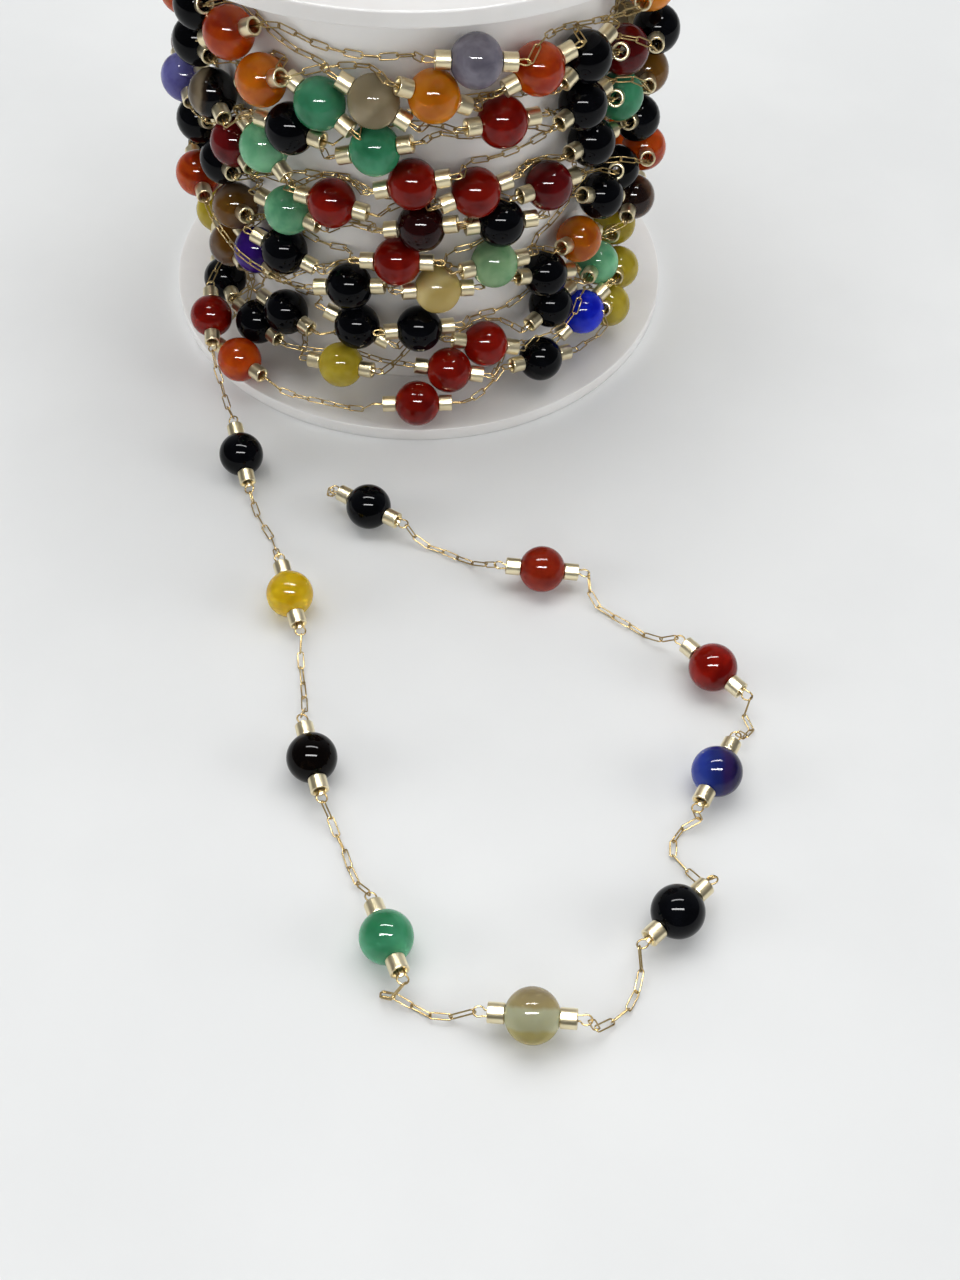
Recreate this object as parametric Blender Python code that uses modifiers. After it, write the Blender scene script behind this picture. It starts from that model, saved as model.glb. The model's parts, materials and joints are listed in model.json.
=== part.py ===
"""A spool wound with gemstone station chain, with a loose end of ten stations lying before it.

The spool stands on the floor with its axis upright.  The free end leaves the winding low on the
left, hangs over the rim of the lower flange and lies in a loop on the floor towards -Y.
Bearings are in degrees round the spool's axis: 0 points to -Y and 90 to +X.
"""
import math

import bmesh
import bpy
import numpy as np
from mathutils import Matrix, Vector

MM = 0.001

# Spool: two discs on a hollow core
SPOOL_HEIGHT = 63.6 * MM
FLANGE_RADIUS = 37.6 * MM
FLANGE_THICKNESS = 2.0 * MM
HUB_HOLE_RADIUS = 11.0 * MM
CORE_RADIUS = 26.6 * MM
CORE_WALL = 1.6 * MM
SPOOL_SIDES = 36

# Clearance between neighbouring pieces
FIT = 0.3 * MM

# Points nearer to each other than this are one
SAME_POINT = 0.01 * MM

# A loose station: a drilled round stone on an eye pin, with a gold sleeve on each side
STONE_DIAMETER = 6.0 * MM
STONE_BORE = 1.0 * MM
STONE_SIDES = 12
STONE_BANDS = 6
SLEEVE_LENGTH = 1.8 * MM
SLEEVE_DIAMETER = 2.2 * MM
SLEEVE_WALL = 0.3 * MM
SLEEVE_SIDES = 10
CHAIN_DIAMETER = 0.9 * MM
CHAIN_SIDES = 6
PIN_WIRE = 0.4 * MM
PIN_SIDES = 5
EYE_DIAMETER = 1.5 * MM
EYE_SEGMENTS = 10
EYE_BEYOND_SLEEVE = 0.5 * MM
PIN_SINK = 0.15
FIRST_STONE_HEIGHT = 8.0 * MM

# Winding: one strand whose stones lie round the core at nearly even steps
WOUND_STONE_DIAMETER = 6.3 * MM
WOUND_HEIGHT = 47.6 * MM
WOUND_STONE_SIDES = 10
WOUND_STONE_RINGS = 4
STONE_GAP = 0.1 * MM
BUNDLE_COVER = 0.5 * MM
BUNDLE_TOP_CHAMFER = 1.5 * MM
BUNDLE_SIDES = 24
SLIVER_THINNING = 0.8
HIDDEN_STEP = 53.0
SPREADING_ROUNDS = 160
SPREADING_RATE = 0.7

# Each row is one pass of the strand over the side towards -Y, from left to right and from the top
# down.  A stone has its kind, its bearing in degrees, and, in per cent, its height in the winding
# and its lift off the core in stone diameters.  The far side of each turn is filled evenly.
WOUND_PASSES = [
    [("carnelian", -43, 96, 0), ("lavender", 17, 100, 0), ("honey", 74, 98, 25)],
    [("onyx", -57, 98, 0), ("grey_agate", -6, 90, 0), ("onyx", 48, 90, 0)],
    [("onyx", -62, 84, 0), ("green_onyx", -19, 87, 0), ("carnelian", 33, 94, 0), ("onyx", 80, 82, 40)],
    [("amber", -35, 88, 0), ("honey", 8, 92, 0), ("garnet", 67, 83, 0)],
    [("violet", -71, 70, 25), ("onyx", -29, 78, 0), ("red_agate", 24, 82, 0), ("tiger_eye", 81, 68, 28)],
    [("banded_onyx", -57, 74, 0), ("green_onyx", -6, 76, 0), ("onyx", 48, 79, 0)],
    [("garnet", -49, 64, 0), ("red_agate", 2, 67, 0), ("green_onyx", 67, 70, 0)],
    [("aventurine", -36, 69, 0), ("red_agate", 18, 62, 0), ("onyx", 79, 56, 25)],
    [("onyx", -72, 56, 8), ("red_agate", -18, 58, 0), ("garnet", 38, 58, 0)],
    [("onyx", -56, 51, 0), ("dark_garnet", 4, 53, 0), ("onyx", 53, 64, 0)],
    [("aventurine", -31, 51, 0), ("onyx", 24, 51, 0), ("carnelian", 81, 44, 36)],
    [("tiger_eye", -53, 41, 0), ("red_agate", -2, 42, 0), ("onyx", 62, 42, 0)],
    [("onyx", -34, 36, 0), ("moss_agate", 23, 39, 0), ("onyx", 71, 43, 0)],
    [("carnelian", -69, 41, 33), ("onyx", -15, 31, 0), ("onyx", 39, 27, 0), ("tiger_eye", 77, 27, 26)],
    [("violet", -46, 31, 0), ("cream_agate", 8, 32, 0), ("amber", 52, 34, 0)],
    [("tiger_eye", -61, 21, 0), ("onyx", -14, 16, 0), ("onyx", 44, 14, 0), ("citrine", 76, 17, 0)],
    [("onyx", -37, 12, 4), ("onyx", 3, 18, 0), ("aventurine", 63, 16, 0)],
    [("onyx", -68, 3, 14), ("citrine", -17, 6, 33), ("red_agate", 20, 10, 8), ("citrine", 74, 13, 12)],
    [("onyx", -44, 5, 32), ("red_agate", 10, 6, 42), ("cobalt", 51, 9, 20)],
    [("carnelian", -42, 0, 100), ("red_agate", 3, 0, 85), ("onyx", 35, 2, 43), ("citrine", 61, 5, 36)],
]
SLACK_STONES = 3
LAST_BEARING = -80.0

# The strand leaves the winding at this bearing.  The loose end is measured from the seat of a
# stone there, so that it goes with the core.
LEAVING_BEARING = -53.2

# Each loose stone: kind, centre x and y in millimetres from that seat, and the bearing and upward
# tilt of its bore, both in degrees, read towards the free end.
LOOSE_STONES = [
    ("red_agate", -5.1, -3.7, 8, -12),
    ("onyx", 1.4, -26.2, 17, -13),
    ("honey", 10.6, -50.4, 19, -8),
    ("onyx", 15.7, -74.6, 17, 0),
    ("green_onyx", 25.8, -96.8, 22, 10),
    ("moss_agate", 41.5, -105.1, 85, 5),
    ("onyx", 57.4, -92.9, 134, 0),
    ("cobalt", 63.1, -75.0, 152, 0),
    ("garnet", 63.8, -60.1, -137, 0),
    ("dark_carnelian", 42.8, -45.2, -90, 6),
    ("onyx", 19.6, -35.2, -121, 0),
]

# Chosen points of the loose chain between each stone and the next, in millimetres: x and y from
# the same seat, and height.  The chain itself starts and ends just off the eyes.
CHAIN_POINTS = [
    [(-3.4, -13.3, 4.9), (-1.9, -17.1, 3.6)],
    [(5.0, -35.5, 0.6), (6.9, -40.5, 0.8)],
    [(12.8, -59.5, 0.7), (13.5, -65.3, 0.8)],
    [(18.7, -83.9, 0.7), (20.5, -87.7, 0.7)],
    [(26.3, -104.0, 1.4), (28.5, -105.3, 0.5), (31.9, -105.1, 0.8)],
    [(50.6, -104.7, 0.8), (52.6, -101.5, 0.9)],
    [(60.7, -86.9, 0.9), (58.3, -85.1, 0.5), (57.9, -82.9, 0.7)],
    [(67.7, -67.3, 1.2)],
    [(56.5, -53.7, 0.7), (52.7, -51.1, 0.5), (50.5, -48.1, 0.8)],
    [(33.3, -43.5, 0.7), (28.9, -41.0, 0.6)],
]
CHAIN_POINT_SPACING = 2.5 * MM

# Base colour, roughness and metallic value of each material
MATERIALS = {
    "white_plastic": ((0.86, 0.86, 0.84), 0.35, 0.0),
    "gold": ((0.86, 0.68, 0.36), 0.25, 1.0),
    "wound_stones": ((0.25, 0.10, 0.07), 0.15, 0.0),
    "onyx": ((0.01, 0.01, 0.012), 0.1, 0.0),
    "honey": ((0.75, 0.40, 0.06), 0.1, 0.0),
    "green_onyx": ((0.03, 0.30, 0.16), 0.1, 0.0),
    "moss_agate": ((0.45, 0.55, 0.45), 0.1, 0.0),
    "cobalt": ((0.02, 0.05, 0.55), 0.1, 0.0),
    "garnet": ((0.16, 0.01, 0.02), 0.1, 0.0),
    "red_agate": ((0.42, 0.02, 0.01), 0.1, 0.0),
    "dark_carnelian": ((0.25, 0.03, 0.01), 0.1, 0.0),
}


def remove_everything():
    for obj in list(bpy.data.objects):
        bpy.data.objects.remove(obj, do_unlink=True)


def new_collection(name):
    collection = bpy.data.collections.new(name)
    bpy.context.scene.collection.children.link(collection)
    return collection


def make_material(name):
    colour, roughness, metallic = MATERIALS[name]
    material = bpy.data.materials.new(name)
    material.use_nodes = True
    shader = material.node_tree.nodes["Principled BSDF"]
    shader.inputs["Base Color"].default_value = (*colour, 1.0)
    shader.inputs["Roughness"].default_value = roughness
    shader.inputs["Metallic"].default_value = metallic
    return material


def add_object(name, data, parent, collection, material_name, placement=None):
    """Link a named object under the spool's axis, with its own material."""
    obj = bpy.data.objects.new(name, data)
    collection.objects.link(obj)
    obj.parent = parent
    if placement is not None:
        obj.matrix_local = placement
    if material_name not in bpy.data.materials:
        make_material(material_name)
    obj.data.materials.clear()
    obj.data.materials.append(bpy.data.materials[material_name])
    return obj


def outline_mesh(name, outline):
    """A closed outline of (radius, height) points, its outer side running from the top down."""
    mesh = bpy.data.meshes.new(name)
    corners = [(radius, 0.0, height) for radius, height in outline]
    edges = [(i, (i + 1) % len(corners)) for i in range(len(corners))]
    mesh.from_pydata(corners, edges, [])
    return mesh


def turn(obj, sides):
    screw = obj.modifiers.new("turned", "SCREW")
    screw.axis = "Z"
    screw.angle = 2 * math.pi
    screw.steps = sides
    screw.render_steps = sides
    screw.use_merge_vertices = True
    screw.merge_threshold = SAME_POINT
    screw.use_smooth_shade = True


def turned_mesh(name, outline, sides):
    """The mesh of a turned outline, for pieces that share it."""
    profile = bpy.data.objects.new(name, outline_mesh(name, outline))
    bpy.context.scene.collection.objects.link(profile)
    turn(profile, sides)
    evaluated = profile.evaluated_get(bpy.context.evaluated_depsgraph_get())
    mesh = bpy.data.meshes.new_from_object(evaluated)
    mesh.set_sharp_from_angle(angle=math.radians(40))
    mesh.name = name
    bpy.data.objects.remove(profile, do_unlink=True)
    return mesh


def ring_outline(inner, outer, bottom, top):
    return [(inner, top), (outer, top), (outer, bottom), (inner, bottom)]


def build_spool(parent, collection):
    top_disc = SPOOL_HEIGHT - FLANGE_THICKNESS
    disc = turned_mesh("flange", ring_outline(HUB_HOLE_RADIUS, FLANGE_RADIUS, 0.0, FLANGE_THICKNESS),
                       SPOOL_SIDES)
    core = turned_mesh("core", ring_outline(CORE_RADIUS - CORE_WALL, CORE_RADIUS,
                                            FLANGE_THICKNESS + FIT, top_disc - FIT), SPOOL_SIDES)
    add_object("spool_lower_flange", disc, parent, collection, "white_plastic")
    add_object("spool_upper_flange", disc.copy(), parent, collection, "white_plastic",
               Matrix.Translation((0.0, 0.0, top_disc)))
    add_object("spool_core", core, parent, collection, "white_plastic")


def seat_radius():
    """Distance from the axis to a stone's centre where the stone lies on the core."""
    return CORE_RADIUS + STONE_GAP + WOUND_STONE_DIAMETER / 2


def lowest_centre():
    return FLANGE_THICKNESS + STONE_GAP + WOUND_STONE_DIAMETER / 2


def around_axis(bearing, radius, height):
    """Points from arrays of bearings in radians, distances from the axis and heights."""
    return np.stack([radius * np.sin(bearing), -radius * np.cos(bearing), height], axis=-1)


def chart_strand():
    """Bearing, radius and height of every wound stone in strand order, and which are hidden."""
    bearings, radii, heights, hidden = [], [], [], []

    def place(bearing, radius, height, is_hidden):
        bearings.append(bearing)
        radii.append(radius)
        heights.append(height)
        hidden.append(is_hidden)

    def height_at(share):
        return lowest_centre() + WOUND_HEIGHT * share / 100

    for turn_number, row in enumerate(WOUND_PASSES):
        for _, bearing, share, lift in row:
            radius = seat_radius() + WOUND_STONE_DIAMETER * lift / 100
            place(bearing + 360 * turn_number, radius, height_at(share), False)
        start, start_share = bearings[-1], row[-1][2]
        if turn_number + 1 < len(WOUND_PASSES):
            _, bearing, end_share, _ = WOUND_PASSES[turn_number + 1][0]
            end = bearing + 360 * (turn_number + 1)
        else:
            end, end_share = LAST_BEARING + 360 * (turn_number + 1), 2
        count = round((end - start) / HIDDEN_STEP) - 1
        for step in range(1, count + 1):
            along = step / (count + 1)
            share = start_share + (end_share - start_share) * along
            place(start + (end - start) * along, seat_radius(), height_at(share), True)
    return np.radians(bearings), np.array(radii), np.array(heights), np.array(hidden)


def spread_stones():
    """Stone centres in strand order, with stones that would overlap moved apart on the core.

    A hidden stone makes way for a charted one; two of a kind share the move.
    """
    bearings, radii, heights, hidden = chart_strand()
    clear = WOUND_STONE_DIAMETER + STONE_GAP
    share = np.where(hidden[:, None] == hidden[None, :], 0.5, np.where(hidden[:, None], 1.0, 0.0))
    for _ in range(SPREADING_ROUNDS):
        centres = around_axis(bearings, radii, heights)
        apart = centres[:, None] - centres[None, :]
        distance = np.linalg.norm(apart, axis=2)
        np.fill_diagonal(distance, clear)
        overlap = np.clip(clear - distance, 0.0, None) * share
        push = (apart * (overlap / distance)[:, :, None]).sum(axis=1)
        moved = centres + push * SPREADING_RATE
        radii = np.maximum(np.hypot(moved[:, 0], moved[:, 1]), seat_radius())
        bearings = np.arctan2(moved[:, 0], -moved[:, 1])
        heights = np.clip(moved[:, 2], lowest_centre(), lowest_centre() + WOUND_HEIGHT)
    return around_axis(bearings, radii, heights)


def facing(direction, centre):
    """A placement with local Z along the direction and local X as near upright as it goes."""
    along = Vector(direction).normalized()
    upright = Vector((0.0, 0.0, 1.0)) - along * along.z
    if upright.length < 0.01:
        upright = Vector((1.0, 0.0, 0.0))
    upright.normalize()
    side = along.cross(upright)
    return Matrix.Translation(centre) @ Matrix((upright, side, along)).transposed().to_4x4()


def wound_stone_field(centres, collection):
    """All wound stones in one mesh, with the slack chain that carries the lowest ones."""
    field = bmesh.new()
    for x, y, z in centres:
        bmesh.ops.create_uvsphere(field, u_segments=WOUND_STONE_SIDES, v_segments=WOUND_STONE_RINGS,
                                  radius=WOUND_STONE_DIAMETER / 2, matrix=facing((x, y, 0), (x, y, z)))
    first_slack = last_row_start(centres)
    for here, there in zip(centres[first_slack:], centres[first_slack + 1:first_slack + SLACK_STONES]):
        start, end = Vector(here), Vector(there)
        bmesh.ops.create_cone(field, segments=CHAIN_SIDES, cap_ends=True, radius1=CHAIN_DIAMETER / 2,
                              radius2=CHAIN_DIAMETER / 2, depth=(end - start).length,
                              matrix=facing(end - start, (start + end) / 2))
    mesh = bpy.data.meshes.new("wound_stone_field")
    field.to_mesh(mesh)
    field.free()
    obj = bpy.data.objects.new("wound_stone_field", mesh)
    collection.objects.link(obj)
    obj.hide_render = True
    obj.display_type = "WIRE"
    return obj


def last_row_start(centres):
    """Index of the first stone in the last charted row."""
    hidden = chart_strand()[3]
    charted = np.flatnonzero(~hidden)
    return int(charted[-len(WOUND_PASSES[-1])])


def build_winding(parent, collection, tools):
    """The wound strand as one solid: the bundled chain with every stone standing out of it."""
    centres = spread_stones()
    inner = CORE_RADIUS + FIT
    outer = seat_radius() + BUNDLE_COVER
    bottom = FLANGE_THICKNESS + FIT
    top = lowest_centre() + WOUND_HEIGHT
    outline = [(inner, top), (outer - BUNDLE_TOP_CHAMFER, top), (outer, top - BUNDLE_TOP_CHAMFER),
               (outer, bottom), (inner, bottom)]
    bundle = add_object("wound_strand", outline_mesh("wound_strand", outline), parent, collection,
                        "wound_stones")
    turn(bundle, BUNDLE_SIDES)
    field = wound_stone_field(centres, tools)
    field.parent = parent
    union = bundle.modifiers.new("stones", "BOOLEAN")
    union.operation = "UNION"
    union.solver = "EXACT"
    union.use_self = True
    union.object = field
    thinning = bundle.modifiers.new("fewer_slivers", "DECIMATE")
    thinning.ratio = SLIVER_THINNING
    thinning.use_collapse_triangulate = True


def stone_mesh():
    """A round stone with its bore along local Z."""
    radius, bore = STONE_DIAMETER / 2, STONE_BORE / 2
    rim = math.asin(bore / radius)
    outline = []
    for band in range(STONE_BANDS + 1):
        angle = rim + (math.pi - 2 * rim) * band / STONE_BANDS
        outline.append((radius * math.sin(angle), radius * math.cos(angle)))
    return turned_mesh("stone", outline, STONE_SIDES)


def sleeve_mesh():
    outer = SLEEVE_DIAMETER / 2
    half = SLEEVE_LENGTH / 2
    return turned_mesh("sleeve", ring_outline(outer - SLEEVE_WALL, outer, -half, half), SLEEVE_SIDES)


def sleeve_offset():
    """Distance from a stone's centre to the middle of its sleeve."""
    return STONE_DIAMETER / 2 + FIT + SLEEVE_LENGTH / 2


def eye_offset():
    """Distance from a stone's centre to the middle of its eye."""
    return sleeve_offset() + SLEEVE_LENGTH / 2 + EYE_BEYOND_SLEEVE


def chain_offset():
    """Distance from a stone's centre to the first point of the chain."""
    return eye_offset() + EYE_DIAMETER / 2 + FIT


def pin_mesh():
    """A straight wire along local Z with a round eye on each end, fused into one body."""
    eye_ring = (EYE_DIAMETER - PIN_WIRE) / 2
    wire_half = eye_offset() - eye_ring - PIN_WIRE * PIN_SINK
    scrap = []

    def primitive(mesh_from):
        obj = bpy.data.objects.new("pin_piece", mesh_from)
        bpy.context.scene.collection.objects.link(obj)
        scrap.append(obj)
        return obj

    wire_body = bmesh.new()
    bmesh.ops.create_cone(wire_body, segments=PIN_SIDES, cap_ends=True, radius1=PIN_WIRE / 2,
                          radius2=PIN_WIRE / 2, depth=2 * wire_half)
    wire_mesh = bpy.data.meshes.new("pin_wire")
    wire_body.to_mesh(wire_mesh)
    wire_body.free()
    pin = primitive(wire_mesh)
    for end in (-1, 1):
        bpy.ops.mesh.primitive_torus_add(location=(0.0, 0.0, end * eye_offset()),
                                         rotation=(0.0, math.pi / 2, 0.0), major_radius=eye_ring,
                                         minor_radius=PIN_WIRE / 2, major_segments=EYE_SEGMENTS,
                                         minor_segments=PIN_SIDES)
        eye = bpy.context.object
        scrap.append(eye)
        union = pin.modifiers.new("eye", "BOOLEAN")
        union.operation = "UNION"
        union.solver = "EXACT"
        union.object = eye
    evaluated = pin.evaluated_get(bpy.context.evaluated_depsgraph_get())
    mesh = bpy.data.meshes.new_from_object(evaluated)
    mesh.name = "eye_pin"
    mesh.shade_smooth()
    for obj in scrap:
        bpy.data.objects.remove(obj, do_unlink=True)
    return mesh


def heading(bearing, tilt):
    flat = math.cos(math.radians(tilt))
    return Vector((flat * math.sin(math.radians(bearing)), -flat * math.cos(math.radians(bearing)),
                   math.sin(math.radians(tilt))))


def from_leaving_seat(x, y, height):
    """A point given in millimetres from where the strand leaves the winding, with a real height."""
    seat = seat_radius() * heading(LEAVING_BEARING, 0.0)
    return seat + Vector((x * MM, y * MM, height))


def loose_centre(number):
    """The first stone hangs over the rim of the lower flange and the others lie on the floor."""
    _, x, y, _, _ = LOOSE_STONES[number]
    height = FIRST_STONE_HEIGHT if number == 0 else STONE_DIAMETER / 2
    return from_leaving_seat(x, y, height)


def build_stations(parent, collection):
    stone, sleeve, pin = stone_mesh(), sleeve_mesh(), pin_mesh()
    for number, (kind, _, _, bearing, tilt) in enumerate(LOOSE_STONES):
        centre = loose_centre(number)
        along = heading(bearing, tilt)
        add_object(f"stone_{number:02d}", stone.copy(), parent, collection, kind, facing(along, centre))
        add_object(f"eye_pin_{number:02d}", pin.copy(), parent, collection, "gold", facing(along, centre))
        for side, sign in (("a", -1), ("b", 1)):
            seat = centre + along * (sign * sleeve_offset())
            add_object(f"sleeve_{number:02d}{side}", sleeve.copy(), parent, collection, "gold",
                       facing(along, seat))


def smooth_route(points, spacing):
    """Points at an even spacing on a smooth curve through the given ones."""
    before = points[0] * 2 - points[1]
    after = points[-1] * 2 - points[-2]
    knots = [before, *points, after]
    dense = []
    for p0, p1, p2, p3 in zip(knots, knots[1:], knots[2:], knots[3:]):
        for step in range(16):
            t = step / 16
            dense.append(0.5 * (2 * p1 + (p2 - p0) * t + (2 * p0 - 5 * p1 + 4 * p2 - p3) * t ** 2
                                + (3 * p1 - p0 - 3 * p2 + p3) * t ** 3))
    dense.append(points[-1])
    lengths = np.cumsum([0.0] + [(b - a).length for a, b in zip(dense, dense[1:])])
    count = max(3, round(lengths[-1] / spacing))
    stops = np.linspace(0.0, lengths[-1], count + 1)
    columns = [np.interp(stops, lengths, [p[axis] for p in dense]) for axis in range(3)]
    return [Vector(p) for p in zip(*columns)]


def build_chains(parent, collection):
    """The chain between each loose stone and the next, as a plain tube that stays off the floor."""
    for number, chosen in enumerate(CHAIN_POINTS):
        _, _, _, bearing, tilt = LOOSE_STONES[number]
        start = loose_centre(number) + heading(bearing, tilt) * chain_offset()
        _, _, _, bearing, tilt = LOOSE_STONES[number + 1]
        end = loose_centre(number + 1) - heading(bearing, tilt) * chain_offset()
        bends = [from_leaving_seat(x, y, height * MM) for x, y, height in chosen]
        route = smooth_route([start, *bends, end], CHAIN_POINT_SPACING)
        for place in route:
            place.z = max(place.z, CHAIN_DIAMETER / 2)
        curve = bpy.data.curves.new(f"chain_{number:02d}", "CURVE")
        curve.dimensions = "3D"
        curve.bevel_depth = CHAIN_DIAMETER / 2
        curve.bevel_resolution = 2
        curve.use_fill_caps = True
        spline = curve.splines.new("POLY")
        spline.points.add(len(route) - 1)
        for point, place in zip(spline.points, route):
            point.co = (*place, 1.0)
        spline.use_smooth = True
        add_object(f"chain_{number:02d}", curve, parent, collection, "gold")


def stand_on_origin(root, collection):
    """Move the whole so that the origin is under the middle of its bounding box, on the floor."""
    bpy.context.view_layer.update()
    depsgraph = bpy.context.evaluated_depsgraph_get()
    points = []
    for obj in collection.objects:
        if obj.type in {"MESH", "CURVE"}:
            evaluated = obj.evaluated_get(depsgraph)
            points += [evaluated.matrix_world @ vertex.co for vertex in evaluated.to_mesh().vertices]
            evaluated.to_mesh_clear()
    low = [min(point[axis] for point in points) for axis in range(3)]
    high = [max(point[axis] for point in points) for axis in range(3)]
    root.location = (-(low[0] + high[0]) / 2, -(low[1] + high[1]) / 2, -low[2])
    bpy.context.view_layer.update()


def main():
    remove_everything()
    collection = new_collection("beaded_necklace_chain_on_spool")
    tools = new_collection("cutters")
    root = bpy.data.objects.new("spool_axis", None)
    collection.objects.link(root)
    build_spool(root, collection)
    build_winding(root, collection, tools)
    build_stations(root, collection)
    build_chains(root, collection)
    stand_on_origin(root, collection)


main()
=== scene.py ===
import json
import math

import bpy
import numpy as np
from mathutils import Matrix, Vector


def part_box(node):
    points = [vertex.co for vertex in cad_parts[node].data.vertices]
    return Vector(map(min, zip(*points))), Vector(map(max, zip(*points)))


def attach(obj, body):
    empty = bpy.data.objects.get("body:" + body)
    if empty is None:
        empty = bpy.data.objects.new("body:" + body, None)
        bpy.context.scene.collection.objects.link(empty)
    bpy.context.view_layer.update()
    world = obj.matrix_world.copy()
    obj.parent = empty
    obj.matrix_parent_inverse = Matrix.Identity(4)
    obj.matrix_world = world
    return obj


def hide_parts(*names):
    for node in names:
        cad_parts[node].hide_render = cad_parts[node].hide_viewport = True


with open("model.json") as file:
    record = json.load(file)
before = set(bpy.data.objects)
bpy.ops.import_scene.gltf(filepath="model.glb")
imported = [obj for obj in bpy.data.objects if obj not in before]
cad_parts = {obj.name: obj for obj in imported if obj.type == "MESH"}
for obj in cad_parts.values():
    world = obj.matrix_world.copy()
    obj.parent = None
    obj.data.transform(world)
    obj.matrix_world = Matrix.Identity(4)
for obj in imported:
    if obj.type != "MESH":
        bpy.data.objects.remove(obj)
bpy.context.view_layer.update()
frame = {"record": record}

MM = 0.001

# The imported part's sizes, repeated from its source
SPOOL_HEIGHT = 63.6 * MM
FLANGE_RADIUS = 37.6 * MM
FLANGE_THICKNESS = 2.0 * MM
HUB_HOLE_RADIUS = 11.0 * MM
CORE_RADIUS = 26.6 * MM
CORE_WALL = 1.6 * MM
FIT = 0.3 * MM
STONE_DIAMETER = 6.0 * MM
STONE_BORE = 1.0 * MM
SLEEVE_LENGTH = 1.8 * MM
SLEEVE_DIAMETER = 2.2 * MM
SLEEVE_WALL = 0.3 * MM
EYE_DIAMETER = 1.5 * MM
EYE_BEYOND_SLEEVE = 0.5 * MM
SLEEVE_OVERLAP = 0.1 * MM
FIRST_STONE_HEIGHT = 8.0 * MM
WOUND_STONE_DIAMETER = 6.3 * MM
WOUND_HEIGHT = 47.6 * MM
STONE_GAP = 0.1 * MM
HIDDEN_STEP = 53.0
SPREADING_ROUNDS = 160
SPREADING_RATE = 0.7
LAST_BEARING = -80.0
LEAVING_BEARING = -53.2

# One row for each pass over the front: kind, bearing, height and lift. The places are the source's, and
# some kinds are split up more finely
WOUND_PASSES = [
    [("carnelian", -43, 96, 0), ("lavender", 17, 100, 0), ("honey", 74, 98, 25)],
    [("onyx", -57, 98, 0), ("grey_agate", -6, 90, 0), ("onyx", 48, 90, 0)],
    [("onyx", -62, 84, 0), ("green_onyx", -19, 87, 0), ("carnelian", 33, 94, 0), ("onyx", 80, 82, 40)],
    [("amber", -35, 88, 0), ("honey", 8, 92, 0), ("garnet", 67, 83, 0)],
    [("violet", -71, 70, 25), ("onyx", -29, 78, 0), ("red_agate", 24, 82, 0), ("tiger_eye", 81, 68, 28)],
    [("banded_onyx", -57, 74, 0), ("green_onyx", -6, 76, 0), ("onyx", 48, 79, 0)],
    [("garnet", -49, 64, 0), ("red_agate", 2, 67, 0), ("green_onyx", 67, 70, 0)],
    [("aventurine", -36, 69, 0), ("red_agate", 18, 62, 0), ("onyx", 79, 56, 25)],
    [("onyx", -72, 56, 8), ("red_agate", -18, 58, 0), ("garnet", 38, 58, 0)],
    [("onyx", -56, 51, 0), ("dark_garnet", 4, 53, 0), ("onyx", 53, 64, 0)],
    [("aventurine", -31, 51, 0), ("onyx", 24, 51, 0), ("carnelian", 81, 44, 36)],
    [("tiger_eye", -53, 41, 0), ("red_agate", -2, 42, 0), ("onyx", 62, 42, 0)],
    [("onyx", -34, 36, 0), ("moss_agate", 23, 39, 0), ("onyx", 71, 43, 0)],
    [("carnelian", -69, 41, 33), ("onyx", -15, 31, 0), ("onyx", 39, 27, 0), ("tiger_eye", 77, 27, 26)],
    [("deep_violet", -46, 31, 0), ("cream_agate", 8, 32, 0), ("amber", 52, 34, 0)],
    [("tiger_eye", -61, 21, 0), ("onyx", -14, 16, 0), ("onyx", 44, 14, 0), ("citrine", 76, 17, 0)],
    [("onyx", -37, 12, 4), ("onyx", 3, 18, 0), ("aventurine", 63, 16, 0)],
    [("onyx", -68, 3, 14), ("citrine", -17, 6, 33), ("red_agate", 20, 10, 8), ("citrine", 74, 13, 12)],
    [("onyx", -44, 5, 32), ("red_agate", 10, 6, 42), ("cobalt", 51, 9, 20)],
    [("carnelian", -42, 0, 100), ("red_agate", 3, 0, 85), ("onyx", 35, 2, 43), ("citrine", 61, 5, 36)],
]
HIDDEN_KINDS = ["onyx", "onyx", "onyx", "red_agate", "carnelian", "garnet", "honey", "green_onyx",
                "aventurine", "tiger_eye", "citrine", "grey_agate"]

# Kind, x, y, bearing and tilt of each loose stone. The places are the source's, and some kinds are split
# up more finely
LOOSE_STONES = [
    ("red_agate", -5.1, -3.7, 8, -12),
    ("onyx", 1.4, -26.2, 17, -13),
    ("yellow_agate", 10.6, -50.4, 19, -8),
    ("brown_onyx", 15.7, -74.6, 17, 0),
    ("green_agate", 25.8, -96.8, 22, 10),
    ("moss_bands", 41.5, -105.1, 85, 5),
    ("onyx", 57.4, -92.9, 134, 0),
    ("cobalt_agate", 63.1, -75.0, 152, 0),
    ("red_agate", 63.8, -60.1, -137, 0),
    ("dark_carnelian", 42.8, -45.2, -90, 6),
    ("onyx", 19.6, -35.2, -121, 0),
]

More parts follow.
